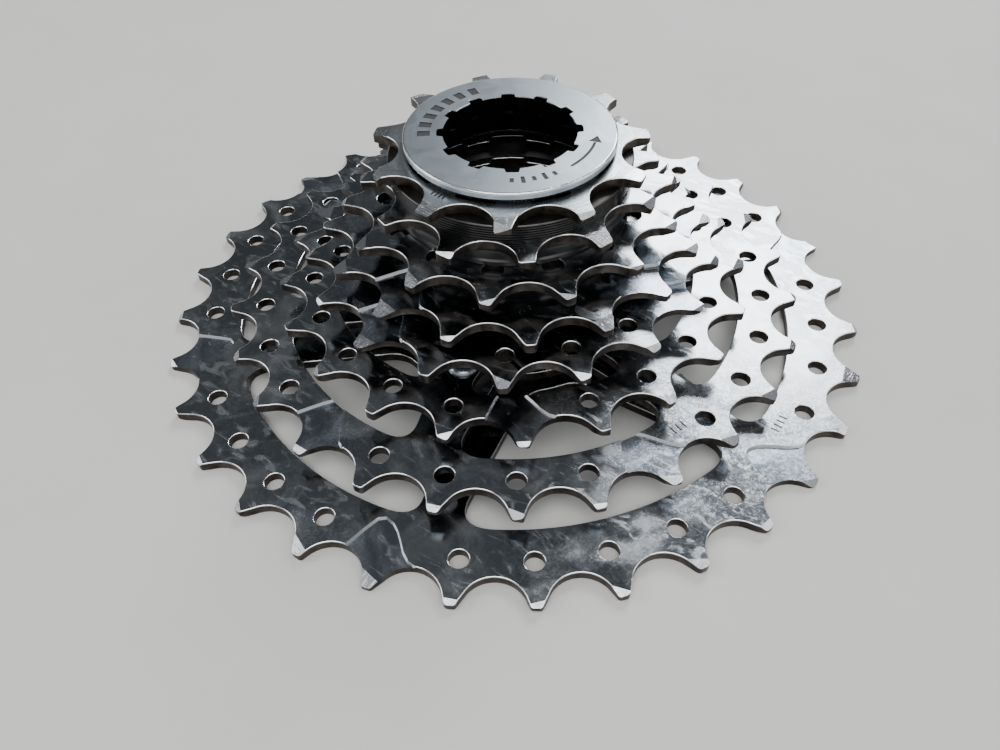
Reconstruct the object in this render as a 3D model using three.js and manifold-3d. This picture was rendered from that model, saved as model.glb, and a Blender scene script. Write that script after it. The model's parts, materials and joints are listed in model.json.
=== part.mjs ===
// Eight-speed bicycle cassette: eight toothed sprockets stacked largest to smallest on a splined bore,
// parted by spacers and closed by a threaded lockring with its washer.
// Millimetres, +Z up. The origin is on the bore's axis, at the back face of the largest sprocket.
import * as THREE from 'three';
import { mergeVertices } from 'three/addons/utils/BufferGeometryUtils.js';
import Module from 'manifold-3d';

const wasm = await Module();
wasm.setup();

// ---------- Driving dimensions ----------
const CHAIN_PITCH = 12.7;
const VALLEY_RADIUS = 5.2; // wide round gaps between the teeth, which let the chain shift easily
const ROOT_DEPTH = 4.05; // how far a valley's floor lies inside the pitch circle
const VALLEY_HALF_ANGLE = 62; // degrees of arc each side of a valley's floor
const VALLEY_SEGMENTS = 4;
const TIP_HALF_WIDTH = 0.8;
const SMALL_TIP_HALF_WIDTH = 1.3; // on sprockets of 12 teeth and fewer
const SMALL_TEETH = 12;
const HOLE_SIDES = 6;
const PLATE = 1.8; // thickness of every sprocket
const SPACER = 3.0; // thickness of an ordinary spacer
const RIVET_HEAD_ROOM = 1.5; // extra thickness of the spacer in front of the riveted cluster

// Splined bore that slides on the freehub body.
const SPLINE_COUNT = 9;
const SPLINE_TAB_RADIUS = 16.1;
const SPLINE_GROOVE_RADIUS = 17.5;
const SPLINE_TAB_ANGLE = 17;
const SPLINE_KEY_ANGLE = 9; // the one narrow tab that clocks the sprockets
const SPLINE_CLOCKING = 30;
const SPLINE_SIDE_ANGLE = 1; // what the side of a tab takes up

// Spider between a large sprocket's toothed ring and its hub. Its arms widen towards the hub.
const ARM_COUNT = 6;
const HUB_RADIUS = 24.6;
const HUB_CORNER = 3; // reach of a window's round corners at the hub
const WINDOW_ARC_STEPS = 8;
const HUB_ARC_STEPS = 3;
const CORNER_STEPS = 3;

const RIVETED_SPROCKETS = 3;
const RIVET_COUNT = 3;
const RIVET_CIRCLE = 28.2;
const RIVET_CLOCKING = 11.5;
const RIVET_RADIUS = 1.4;
const RIVET_HOLE_RADIUS = 1.5;
const RIVET_HEAD_RADIUS = 2.6;
const RIVET_HEAD_HEIGHT = 1.2;
const RIVET_HEAD_RIM = 0.66; // height of the head's straight side
const RIVET_CROWN_RADIUS = 1.56;
const RIVET_SIDES = 12;

const SPACER_INNER_RADIUS = 17.8;
const SPACER_OUTER_RADIUS = 20.6;
const LOBE_REACH = 31.6; // tip of the spacer's lobe round a rivet
const LOBE_HALF_ANGLE = 15;
const RING_SEGMENTS = 36;
const LOBED_SAMPLES = 72;

const WASHER = { inner: 15.4, outer: 17.2, thickness: 0.4 };
const LOCKRING = {
  flangeRadius: 17.7,
  flangeThickness: 1.6,
  bevel: 0.4,
  underBevel: 0.5,
  skirtRadius: 15.0,
  skirtInner: 13.0,
  skirtLength: 6.4, // below the flange
  skirtChamfer: 0.4,
  socketStep: 0.8, // height of the cone between the socket and the skirt's bore
  socketRadius: 11.0,
  socketDepth: 3.4,
  notchRadius: 12.0,
  notchCount: 12,
  notchWidth: 2.3,
  segments: 48,
};
const NOTCH_CUTTER = { innerRadius: 9, height: 8, lift: 2 }; // lift is its top above the face
const SMALLEST_SPROCKET = 11;

const STEEL_BRIGHT = { color: 0xb9bcc0, roughness: 0.22, metalness: 1.0 };
const STEEL_SATIN = { color: 0xa3a9ae, roughness: 0.42, metalness: 1.0 };
const SPACER_BLACK = { color: 0x1c1d1f, roughness: 0.6, metalness: 0.0 };
const SPACER_METAL = { color: 0x55585c, roughness: 0.4, metalness: 1.0 };
const RIVET_STEEL = { color: 0x9a9da1, roughness: 0.3, metalness: 1.0 };

// One row per sprocket, largest first. clocking is the angle of tooth 0 in degrees from +X.
// A lightening hole sits under every tooth that isn't listed in solidTeeth, the teeth with shift ramps.
// armRoot is half an arm's width at the toothed ring, and armTaper what it gains per mm towards the hub.
const SPROCKETS = [
  {
    teeth: 32, clocking: 1.45, tip: 0.8, holeCircle: 58.2, holeRadius: 1.6,
    solidTeeth: [1, 6, 12, 17, 22, 28],
    window: { outer: 52.6, armClocking: 15.4, armRoot: 2.7, armTaper: 0.19, corner: 5.5 },
  },
  {
    teeth: 26, clocking: 5.95, tip: 0.8, holeCircle: 46.9, holeRadius: 1.6,
    solidTeeth: [3, 8, 16, 21],
    window: { outer: 42.7, armClocking: 10.5, armRoot: 3.7, armTaper: 0.1, corner: 4.5 },
  },
  {
    teeth: 21, clocking: 13.55, tip: 0.8, holeCircle: 36.9, holeRadius: 1.5,
    solidTeeth: [1, 8, 15],
    window: { outer: 33.6, armClocking: 9, armRoot: 3.8, armTaper: 0.1, corner: 3.2 },
    extraSpacer: RIVET_HEAD_ROOM,
  },
  {
    teeth: 18, clocking: 6.3, tip: 0.8, holeCircle: 30.7, holeRadius: 1.5,
    solidTeeth: [0, 4, 5, 6, 10, 11, 12, 16, 17],
  },
  { teeth: 16, clocking: 3.2, tip: 0.8 },
  { teeth: 14, clocking: 3.5, tip: 0.8, holeCircle: 21.4, holeRadius: 1.8, solidTeeth: [] },
  { teeth: 12, clocking: 4.2, tip: 0.9 },
  { teeth: 11, clocking: 4.2, tip: 0.9 },
];

// ---------- Small helpers ----------
const rad = THREE.MathUtils.degToRad;
const polar = (radius, degrees) => new THREE.Vector2(
  radius * Math.cos(rad(degrees)),
  radius * Math.sin(rad(degrees)),
);
const pitchRadius = (teeth) => CHAIN_PITCH / 2 / Math.sin(Math.PI / teeth);

function circlePoints(radius, sides, centre = new THREE.Vector2()) {
  const points = [];
  for (let i = 0; i < sides; i += 1) {
    points.push(polar(radius, (360 * i) / sides).add(centre));
  }
  return points;
}

// A plate of the given outline and holes, standing from z = low up to z = low + height.
function plateGeometry(outline, holes, low, height) {
  const shape = new THREE.Shape(outline);
  shape.holes = holes.map((points) => new THREE.Path(points));
  const geometry = new THREE.ExtrudeGeometry(shape, { depth: height, bevelEnabled: false });
  geometry.translate(0, 0, low);
  return geometry;
}

function toSolid(geometry) {
  const bare = geometry.clone();
  bare.deleteAttribute('normal');
  bare.deleteAttribute('uv');
  const merged = mergeVertices(bare, 1e-5);
  return new wasm.Manifold(new wasm.Mesh({
    numProp: 3,
    vertProperties: new Float32Array(merged.attributes.position.array),
    triVerts: new Uint32Array(merged.index.array),
  }));
}

function toGeometry(solid) {
  const mesh = solid.getMesh();
  const geometry = new THREE.BufferGeometry();
  geometry.setAttribute('position', new THREE.BufferAttribute(new Float32Array(mesh.vertProperties), 3));
  geometry.setIndex(new THREE.BufferAttribute(new Uint32Array(mesh.triVerts), 1));
  geometry.computeVertexNormals();
  return geometry;
}

// A solid of revolution about Z from a closed list of [radius, z] corners.
function turnedGeometry(corners, segments) {
  const profile = corners.map(([radius, z]) => new THREE.Vector2(radius, z));
  profile.push(profile[0].clone());
  const geometry = new THREE.LatheGeometry(profile, segments);
  geometry.rotateX(Math.PI / 2);
  return geometry;
}

function namedMesh(name, geometry, look) {
  const mesh = new THREE.Mesh(geometry, new THREE.MeshStandardMaterial(look));
  mesh.name = name;
  return mesh;
}

// ---------- Sprocket outlines ----------
// The toothed edge: one round valley and one flat tip for each tooth, anticlockwise.
function toothedOutline({ teeth, clocking, tip }) {
  const step = 360 / teeth;
  const pitch = pitchRadius(teeth);
  const tipRadius = pitch + tip;
  const tipHalfWidth = teeth > SMALL_TEETH ? TIP_HALF_WIDTH : SMALL_TIP_HALF_WIDTH;
  const tipHalfAngle = THREE.MathUtils.radToDeg(tipHalfWidth / tipRadius);
  const points = [];
  for (let i = 0; i < teeth; i += 1) {
    const toothAngle = clocking + i * step;
    points.push(polar(tipRadius, toothAngle - tipHalfAngle));
    points.push(polar(tipRadius, toothAngle + tipHalfAngle));
    const valleyAngle = toothAngle + step / 2;
    const valleyCentre = polar(pitch - ROOT_DEPTH + VALLEY_RADIUS, valleyAngle);
    for (let j = 0; j <= VALLEY_SEGMENTS; j += 1) {
      const turn = VALLEY_HALF_ANGLE * (1 - (2 * j) / VALLEY_SEGMENTS);
      points.push(polar(VALLEY_RADIUS, valleyAngle + 180 + turn).add(valleyCentre));
    }
  }
  return points;
}

function splinedBore() {
  const points = [];
  const step = 360 / SPLINE_COUNT;
  for (let i = 0; i < SPLINE_COUNT; i += 1) {
    const middle = SPLINE_CLOCKING + i * step;
    const half = (i === 0 ? SPLINE_KEY_ANGLE : SPLINE_TAB_ANGLE) / 2;
    const nextHalf = (i === SPLINE_COUNT - 1 ? SPLINE_KEY_ANGLE : SPLINE_TAB_ANGLE) / 2;
    points.push(polar(SPLINE_TAB_RADIUS, middle - half));
    points.push(polar(SPLINE_TAB_RADIUS, middle + half));
    points.push(polar(SPLINE_GROOVE_RADIUS, middle + half + SPLINE_SIDE_ANGLE));
    points.push(polar(SPLINE_GROOVE_RADIUS, middle + step / 2));
    points.push(polar(SPLINE_GROOVE_RADIUS, middle + step - nextHalf - SPLINE_SIDE_ANGLE));
  }
  return points;
}

// The window between two spider arms: the ring's arc, the hub's arc and the arms' straight sides,
// with round corners.
function armWindow({ outer, armRoot, armTaper, corner }, armAngle) {
  const nextArm = armAngle + 360 / ARM_COUNT;
  const origin = new THREE.Vector2();
  const onArm = (radius, angle, side) => {
    const half = armRoot + armTaper * (outer - radius);
    const along = Math.sqrt(radius * radius - half * half);
    return new THREE.Vector2(along, side * half).rotateAround(origin, rad(angle));
  };
  const angleOf = (point) => THREE.MathUtils.radToDeg(point.angle());
  const onArc = (radius, angle, side, reach) => {
    const turned = angleOf(onArm(radius, angle, side)) + side * THREE.MathUtils.radToDeg(reach / radius);
    return THREE.MathUtils.euclideanModulo(turned - armAngle, 360) + armAngle;
  };
  const points = [];
  const bend = (start, control, end) => {
    points.push(...new THREE.QuadraticBezierCurve(start, control, end).getPoints(CORNER_STEPS));
  };
  const arc = (radius, from, to, steps) => {
    for (let i = 1; i < steps; i += 1) {
      points.push(polar(radius, from + ((to - from) * i) / steps));
    }
  };
  const outerStart = onArc(outer, armAngle, 1, corner);
  const outerEnd = onArc(outer, nextArm, -1, corner);
  const hubStart = onArc(HUB_RADIUS, armAngle, 1, HUB_CORNER);
  const hubEnd = onArc(HUB_RADIUS, nextArm, -1, HUB_CORNER);
  const innerEdge = HUB_RADIUS + HUB_CORNER;
  arc(outer, outerStart, outerEnd, WINDOW_ARC_STEPS);
  bend(polar(outer, outerEnd), onArm(outer, nextArm, -1), onArm(outer - corner, nextArm, -1));
  bend(onArm(innerEdge, nextArm, -1), onArm(HUB_RADIUS, nextArm, -1), polar(HUB_RADIUS, hubEnd));
  arc(HUB_RADIUS, hubEnd, hubStart, HUB_ARC_STEPS);
  bend(polar(HUB_RADIUS, hubStart), onArm(HUB_RADIUS, armAngle, 1), onArm(innerEdge, armAngle, 1));
  bend(onArm(outer - corner, armAngle, 1), onArm(outer, armAngle, 1), polar(outer, outerStart));
  return points;
}

function rivetCentres() {
  const centres = [];
  for (let i = 0; i < RIVET_COUNT; i += 1) {
    centres.push(polar(RIVET_CIRCLE, RIVET_CLOCKING + (360 * i) / RIVET_COUNT));
  }
  return centres;
}

function rivetHoles() {
  return rivetCentres().map((centre) => circlePoints(RIVET_HOLE_RADIUS, RIVET_SIDES, centre));
}

function lighteningHoles({ teeth, clocking, holeCircle, holeRadius, solidTeeth }) {
  const holes = [];
  for (let i = 0; i < teeth; i += 1) {
    if (!solidTeeth.includes(i)) {
      const centre = polar(holeCircle, clocking + (360 * i) / teeth);
      holes.push(circlePoints(holeRadius, HOLE_SIDES, centre));
    }
  }
  return holes;
}

function sprocketGeometry(sprocket, low) {
  const holes = [splinedBore()];
  if (sprocket.holeCircle) {
    holes.push(...lighteningHoles(sprocket));
  }
  if (sprocket.window) {
    holes.push(...rivetHoles());
    for (let i = 0; i < ARM_COUNT; i += 1) {
      holes.push(armWindow(sprocket.window, sprocket.window.armClocking + (360 * i) / ARM_COUNT));
    }
  }
  return plateGeometry(toothedOutline(sprocket), holes, low, PLATE);
}

// ---------- Spacers, rivets, washer and lockring ----------
function ringGeometry(outer, inner, low, height, segments) {
  return plateGeometry(circlePoints(outer, segments), [circlePoints(inner, segments)], low, height);
}

// A spacer inside the riveted cluster reaches out in a lobe round each rivet.
function lobedSpacerGeometry(low, height) {
  const outline = [];
  const pitch = 360 / RIVET_COUNT;
  for (let i = 0; i < LOBED_SAMPLES; i += 1) {
    const turn = (360 * i) / LOBED_SAMPLES;
    const angle = RIVET_CLOCKING + turn;
    const away = Math.abs(((turn + pitch / 2) % pitch) - pitch / 2) / LOBE_HALF_ANGLE;
    const rise = away < 1 ? (1 - away * away) ** 1.5 : 0;
    outline.push(polar(SPACER_OUTER_RADIUS + (LOBE_REACH - SPACER_OUTER_RADIUS) * rise, angle));
  }
  const holes = [circlePoints(SPACER_INNER_RADIUS, RING_SEGMENTS), ...rivetHoles()];
  return plateGeometry(outline, holes, low, height);
}

function rivetGeometry(centre, low, high) {
  const geometry = turnedGeometry([
    [0, low],
    [RIVET_RADIUS, low],
    [RIVET_RADIUS, high],
    [RIVET_HEAD_RADIUS, high],
    [RIVET_HEAD_RADIUS, high + RIVET_HEAD_RIM],
    [RIVET_CROWN_RADIUS, high + RIVET_HEAD_HEIGHT],
    [0, high + RIVET_HEAD_HEIGHT],
  ], RIVET_SIDES);
  geometry.translate(centre.x, centre.y, 0);
  return geometry;
}

function lockringGeometry(low) {
  const top = low + LOCKRING.flangeThickness;
  let solid = toSolid(turnedGeometry([
    [LOCKRING.socketRadius, top],
    [LOCKRING.socketRadius, top - LOCKRING.socketDepth],
    [LOCKRING.skirtInner, top - LOCKRING.socketDepth - LOCKRING.socketStep],
    [LOCKRING.skirtInner, low - LOCKRING.skirtLength],
    [LOCKRING.skirtRadius - LOCKRING.skirtChamfer, low - LOCKRING.skirtLength],
    [LOCKRING.skirtRadius, low - LOCKRING.skirtLength + LOCKRING.skirtChamfer],
    [LOCKRING.skirtRadius, low],
    [LOCKRING.flangeRadius - LOCKRING.underBevel, low],
    [LOCKRING.flangeRadius, low + LOCKRING.underBevel],
    [LOCKRING.flangeRadius, top - LOCKRING.bevel],
    [LOCKRING.flangeRadius - LOCKRING.bevel, top],
  ], LOCKRING.segments));
  for (let i = 0; i < LOCKRING.notchCount; i += 1) {
    const { innerRadius, height, lift } = NOTCH_CUTTER;
    const cutter = new THREE.BoxGeometry(LOCKRING.notchRadius - innerRadius, LOCKRING.notchWidth, height);
    cutter.translate((LOCKRING.notchRadius + innerRadius) / 2, 0, top + lift - height / 2);
    cutter.rotateZ(rad((360 * i) / LOCKRING.notchCount));
    solid = solid.subtract(toSolid(cutter));
  }
  return toGeometry(solid);
}

// ---------- Assembly ----------
const cassette = new THREE.Group();
let level = 0;
SPROCKETS.forEach((sprocket, index) => {
  cassette.add(namedMesh(`sprocket_${sprocket.teeth}t`, sprocketGeometry(sprocket, level), STEEL_BRIGHT));
  level += PLATE;
  const next = SPROCKETS[index + 1];
  if (next === undefined) {
    return;
  }
  const height = SPACER + (sprocket.extraSpacer ?? 0);
  const insideCluster = sprocket.window !== undefined && next.window !== undefined;
  const lastSpacer = next.teeth === SMALLEST_SPROCKET;
  const geometry = insideCluster
    ? lobedSpacerGeometry(level, height)
    : ringGeometry(SPACER_OUTER_RADIUS, SPACER_INNER_RADIUS, level, height, RING_SEGMENTS);
  const look = lastSpacer ? SPACER_METAL : SPACER_BLACK;
  cassette.add(namedMesh(`spacer_${sprocket.teeth}_${next.teeth}`, geometry, look));
  level += height;
});

const clusterTop = RIVETED_SPROCKETS * PLATE + (RIVETED_SPROCKETS - 1) * SPACER;
rivetCentres().forEach((centre, index) => {
  cassette.add(namedMesh(`rivet_${index + 1}`, rivetGeometry(centre, 0, clusterTop), RIVET_STEEL));
});
cassette.add(namedMesh(
  'lockring_washer',
  ringGeometry(WASHER.outer, WASHER.inner, level, WASHER.thickness, RING_SEGMENTS),
  STEEL_SATIN,
));
cassette.add(namedMesh('lockring', lockringGeometry(level + WASHER.thickness), STEEL_SATIN));

export default cassette;
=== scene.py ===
"""Looks of an eight-speed bicycle cassette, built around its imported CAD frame.

Shapes are worked out in millimetres and written to the meshes in metres. Each piece replaces the CAD
node that it is made from and rides on that node's body. Heights come from the frame.
"""
import json
import math
import random

import bpy
import numpy as np
from mathutils import Matrix, Vector
from mathutils.geometry import delaunay_2d_cdt

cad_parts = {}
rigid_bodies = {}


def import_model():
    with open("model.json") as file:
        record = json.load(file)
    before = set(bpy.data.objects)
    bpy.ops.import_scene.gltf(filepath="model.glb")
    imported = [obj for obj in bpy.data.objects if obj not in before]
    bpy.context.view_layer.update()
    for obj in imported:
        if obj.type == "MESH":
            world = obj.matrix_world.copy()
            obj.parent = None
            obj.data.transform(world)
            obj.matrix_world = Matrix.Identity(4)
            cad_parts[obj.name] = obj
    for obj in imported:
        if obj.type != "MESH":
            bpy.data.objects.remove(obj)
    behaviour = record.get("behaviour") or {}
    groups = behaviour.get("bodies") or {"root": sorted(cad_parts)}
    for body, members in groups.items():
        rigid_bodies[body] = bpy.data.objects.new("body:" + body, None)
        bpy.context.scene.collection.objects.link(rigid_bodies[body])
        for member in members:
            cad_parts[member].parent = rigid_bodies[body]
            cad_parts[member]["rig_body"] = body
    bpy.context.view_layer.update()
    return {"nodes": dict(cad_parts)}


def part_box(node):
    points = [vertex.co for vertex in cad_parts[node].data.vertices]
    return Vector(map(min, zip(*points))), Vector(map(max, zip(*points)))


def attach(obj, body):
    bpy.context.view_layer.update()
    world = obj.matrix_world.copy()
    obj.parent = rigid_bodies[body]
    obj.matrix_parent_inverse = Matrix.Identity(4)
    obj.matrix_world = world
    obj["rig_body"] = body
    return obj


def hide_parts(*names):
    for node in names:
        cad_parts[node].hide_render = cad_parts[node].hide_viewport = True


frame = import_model()

MM = 0.001

# ---------- Driving dimensions, in millimetres and degrees ----------
CHAIN_PITCH = 12.7
VALLEY_RADIUS = 5.2
ROOT_DEPTH = 4.05
VALLEY_HALF_ANGLE = 62
VALLEY_STEPS = 16
TIP_HALF_WIDTH = 0.8
SMALL_SPROCKET_TEETH = 12
SMALL_TIP_HALF_WIDTH = 1.3  # on a sprocket with this many teeth or fewer
TIP_LEAN = 0.25  # how far a tooth's tip stands to one side of its middle
TIP_CORNER = 0.42

SPLINE_COUNT = 9
SPLINE_TAB_RADIUS = 16.1
SPLINE_GROOVE_RADIUS = 17.5
SPLINE_TAB_ANGLE = 17
SPLINE_KEY_ANGLE = 9
SPLINE_CLOCKING = 30
SPLINE_FILLET = 0.35

ARM_COUNT = 6
HUB_RADIUS = 24.6
HUB_CORNER = 3
RIVET_COUNT = 3
RIVET_CIRCLE = 28.2
RIVET_CLOCKING = 11.5
RIVET_HOLE_RADIUS = 1.5
RIVET_HEAD_HEIGHT = 1.2

SPACER_INNER_RADIUS = 17.8
SPACER_OUTER_RADIUS = 20.6
LOBE_REACH = 31.6
LOBE_HALF_ANGLE = 15

EDGE_ROUNDING = 0.14
EDGE_STEPS = 3
SHARP_ANGLE = 34  # degrees between faces above which an edge isn't shaded smooth
FLAT = 0.9999  # a face whose normal is this close to Z is part of a flat side

# The shift ramps' recess in a tooth, in mm along the tooth's tangent and out from the root circle.
RAMP_DEPTH = 0.5
RAMP_SLOPE = 0.5  # how far a recess's wall runs out for each mm that it rises
RAMP_PROFILE = [
    (-5.9, -0.1), (-5.0, -2.2), (-4.0, -4.4), (-3.1, -6.1), (-2.0, -6.6), (-0.6, -6.0),
    (0.5, -5.0), (1.6, -3.6), (2.8, -1.9), (4.2, -0.6), (6.0, 0.0),
]
RAMP_OPEN_REACH = 9
RAMP_OPEN_HALF_WIDTH = 5.5
CUTTER_CLEARANCE = 0.6  # how far a ramp's cutter stands out of the face

# The planes that bevel teeth: limits of lean to one side, of reach from the tip and of slant. A cast of
# the dice picks a kind for each tooth, with these shares.
FACET_KINDS = {
    "none": ((0, 0), (0, 0), (0, 0)),
    "tip": ((-12, 12), (0.6, 1.1), (24, 40)),
    "low": ((-34, -18), (0.6, 1.1), (22, 36)),
    "high": ((18, 32), (0.6, 1.0), (22, 36)),
    "wide": ((-18, 12), (2.2, 3.1), (8, 12)),
    "side": ((-29, -23), (1.4, 2.0), (13, 19)),
}
FACET_SHARES = (18, 28, 22, 6, 11, 15)
FACET_BLOCK = (4.2, 4.2, 2.5)  # half sizes along the plane and the height above it

# One row for each sprocket. ramps are the teeth with a shift ramp. mark is the radius and the angle of a
# stamped mark's first stroke, and how many strokes it has, how far apart and how long.
SPROCKETS = {
    32: dict(clocking=1.45, tip=0.8, hole_circle=58.2, hole_radius=1.6, solid=(1, 6, 12, 17, 22, 28),
             ramps=(1, 6, 12, 17, 22, 28), window=(52.6, 15.4, 2.7, 0.19, 5.5),
             mark=(55.5, 321.2, 4, 1.1, 1.5)),
    26: dict(clocking=5.95, tip=0.8, hole_circle=46.9, hole_radius=1.6, solid=(3, 8, 16, 21),
             ramps=(3, 8, 16, 21), window=(42.7, 10.5, 3.7, 0.1, 4.5),
             mark=(45.4, 303.2, 3, 1.1, 1.5)),
    21: dict(clocking=13.55, tip=0.8, hole_circle=36.9, hole_radius=1.5, solid=(1, 8, 15),
             ramps=(1, 8, 15), window=(33.6, 9, 3.8, 0.1, 3.2)),
    18: dict(clocking=6.3, tip=0.8, hole_circle=30.7, hole_radius=1.5,
             solid=(0, 4, 5, 6, 10, 11, 12, 16, 17), ramps=(0, 5, 11, 16)),
    16: dict(clocking=3.2, tip=0.8, ramps=(2, 7, 10, 14)),
    14: dict(clocking=3.5, tip=0.8, hole_circle=21.4, hole_radius=1.8, solid=(), ramps=()),
    12: dict(clocking=4.2, tip=0.9, ramps=(), mark=(22.6, 271.6, 2, 0.8, 0.9)),
    11: dict(clocking=4.2, tip=0.9, ramps=(), mark=(18.5, 228.5, 4, 0.7, 1.2)),
}

LOCKRING_RADIUS = 17.7
SKIRT_RADIUS = 15.0
SKIRT_INNER = 13.0
SOCKET_RADIUS = 11.0
SOCKET_DEPTH = 3.4
NOTCH_RADIUS = 12.0
NOTCH_COUNT = 12
THREAD_PITCH = 1.0
THREAD_DEPTH = 0.45
NOTCH_HALF_ANGLE = 5.6
NOTCH_FILLET_ANGLE = 1.7
THREAD_ROWS = 48
WASHER_OUTER = 17.2
WASHER_INNER = 15.4
WASHER_RIDGES = 180
RIDGE_DEPTHS = (0, 0.1, 0.22, 0.1)  # at the steps of one ridge

FLOOR_HALF_SIZE = 900
FLOOR_GAP = 0.02  # between the cassette's back and the floor

# A sprocket's faces are in slot 0 of its materials, and these are the rest.
RIM_SLOT, WALL_SLOT, FACET_SLOT, RAMP_FLOOR_SLOT, MARK_SLOT = 1, 2, 3, 4, 5


# ---------- Plane geometry ----------
def polar(radius, degrees):
    return np.array([radius * math.cos(math.radians(degrees)), radius * math.sin(math.radians(degrees))])


def turned(point, degrees):
    c, s = math.cos(math.radians(degrees)), math.sin(math.radians(degrees))
    return np.array([c * point[0] - s * point[1], s * point[0] + c * point[1]])


def circle(radius, sides, centre=(0, 0)):
    return [polar(radius, 360 * i / sides) + np.array(centre) for i in range(sides)]


def bend(start, control, end, steps):
    """The points of a quadratic curve after its start, up to and including its end."""
    points = []
    for i in range(1, steps + 1):
        t = i / steps
        points.append((1 - t) ** 2 * start + 2 * t * (1 - t) * control + t * t * end)
    return points


def filleted(corners, radius, steps=4):
    """A closed outline with each of its corners rounded."""
    points = []
    for i, corner in enumerate(corners):
        towards_last = corners[i - 1] - corner
        towards_next = corners[(i + 1) % len(corners)] - corner
        reach_last = min(radius, 0.45 * np.linalg.norm(towards_last))
        reach_next = min(radius, 0.45 * np.linalg.norm(towards_next))
        start = corner + towards_last / np.linalg.norm(towards_last) * reach_last
        end = corner + towards_next / np.linalg.norm(towards_next) * reach_next
        points += [start] + bend(start, corner, end, steps)
    return points


def pitch_radius(teeth):
    return CHAIN_PITCH / 2 / math.sin(math.pi / teeth)


def toothed_outline(teeth, clocking, tip, leans):
    step = 360 / teeth
    pitch = pitch_radius(teeth)
    half_width = TIP_HALF_WIDTH if teeth > SMALL_SPROCKET_TEETH else SMALL_TIP_HALF_WIDTH
    points = []
    for i in range(teeth):
        angle = clocking + i * step
        shift = leans[i] * TIP_LEAN
        valley = angle + step / 2
        seat = polar(pitch - ROOT_DEPTH + VALLEY_RADIUS, valley)
        last_valley = angle - step / 2
        last_seat = polar(pitch - ROOT_DEPTH + VALLEY_RADIUS, last_valley)
        flank_in = last_seat + polar(VALLEY_RADIUS, last_valley + 180 - VALLEY_HALF_ANGLE)
        low = turned(np.array([pitch + tip, shift - half_width]), angle)
        high = turned(np.array([pitch + tip, shift + half_width]), angle)
        flank_out = seat + polar(VALLEY_RADIUS, valley + 180 + VALLEY_HALF_ANGLE)
        for before, corner, after in ((flank_in, low, high), (low, high, flank_out)):
            back = (before - corner) / np.linalg.norm(before - corner)
            on = (after - corner) / np.linalg.norm(after - corner)
            start = corner + back * TIP_CORNER
            points += [start] + bend(start, corner, corner + on * TIP_CORNER, 3)
        for j in range(VALLEY_STEPS + 1):
            turn = VALLEY_HALF_ANGLE * (1 - 2 * j / VALLEY_STEPS)
            points.append(seat + polar(VALLEY_RADIUS, valley + 180 + turn))
    return points


def splined_bore():
    corners = []
    step = 360 / SPLINE_COUNT
    for i in range(SPLINE_COUNT):
        middle = SPLINE_CLOCKING + i * step
        half = (SPLINE_KEY_ANGLE if i == 0 else SPLINE_TAB_ANGLE) / 2
        next_half = (SPLINE_KEY_ANGLE if i == SPLINE_COUNT - 1 else SPLINE_TAB_ANGLE) / 2
        for j in range(5):
            corners.append(polar(SPLINE_TAB_RADIUS, middle - half + half * j / 2))
        groove_from = middle + half + 1
        groove_to = middle + step - next_half - 1
        for j in range(7):
            corners.append(polar(SPLINE_GROOVE_RADIUS, groove_from + (groove_to - groove_from) * j / 6))
    return filleted(corners, SPLINE_FILLET, 2)


def arm_window(window, arm_angle):
    """The opening between two spider arms, whose sides spread towards the hub."""
    outer, _, arm_root, arm_taper, corner = window
    next_arm = arm_angle + 360 / ARM_COUNT

    def on_arm(radius, angle, side):
        half = arm_root + arm_taper * (outer - radius)
        return turned(np.array([math.sqrt(radius ** 2 - half ** 2), side * half]), angle)

    def on_arc(radius, angle, side, reach):
        point = on_arm(radius, angle, side)
        degrees = math.degrees(math.atan2(point[1], point[0]) + side * reach / radius)
        return (degrees - arm_angle) % 360 + arm_angle

    def arc(radius, start, end, steps):
        return [polar(radius, start + (end - start) * i / steps) for i in range(1, steps)]

    outer_start, outer_end = on_arc(outer, arm_angle, 1, corner), on_arc(outer, next_arm, -1, corner)
    hub_start = on_arc(HUB_RADIUS, arm_angle, 1, HUB_CORNER)
    hub_end = on_arc(HUB_RADIUS, next_arm, -1, HUB_CORNER)
    inner_edge = HUB_RADIUS + HUB_CORNER
    points = [polar(outer, outer_start)]
    points += arc(outer, outer_start, outer_end, 30) + [polar(outer, outer_end)]
    points += bend(points[-1], on_arm(outer, next_arm, -1), on_arm(outer - corner, next_arm, -1), 8)
    points += [on_arm(inner_edge, next_arm, -1)]
    points += bend(points[-1], on_arm(HUB_RADIUS, next_arm, -1), polar(HUB_RADIUS, hub_end), 8)
    points += arc(HUB_RADIUS, hub_end, hub_start, 8) + [polar(HUB_RADIUS, hub_start)]
    points += bend(points[-1], on_arm(HUB_RADIUS, arm_angle, 1), on_arm(inner_edge, arm_angle, 1), 8)
    points += [on_arm(outer - corner, arm_angle, 1)]
    points += bend(points[-1], on_arm(outer, arm_angle, 1), polar(outer, outer_start), 8)[:-1]
    return points


def rivet_centres():
    return [polar(RIVET_CIRCLE, RIVET_CLOCKING + 360 * i / RIVET_COUNT) for i in range(RIVET_COUNT)]


# ---------- Meshes ----------
def new_piece(name, vertices, faces, slots=None, materials=()):
    """A mesh object from points in mm. slots holds each face's place in materials."""
    mesh = bpy.data.meshes.new(name)
    mesh.from_pydata([[c * MM for c in v] for v in vertices], [], faces)
    for material in materials:
        mesh.materials.append(material)
    if slots is not None:
        mesh.polygons.foreach_set("material_index", slots)
    piece = bpy.data.objects.new(name, mesh)
    bpy.context.scene.collection.objects.link(piece)
    return piece


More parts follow.
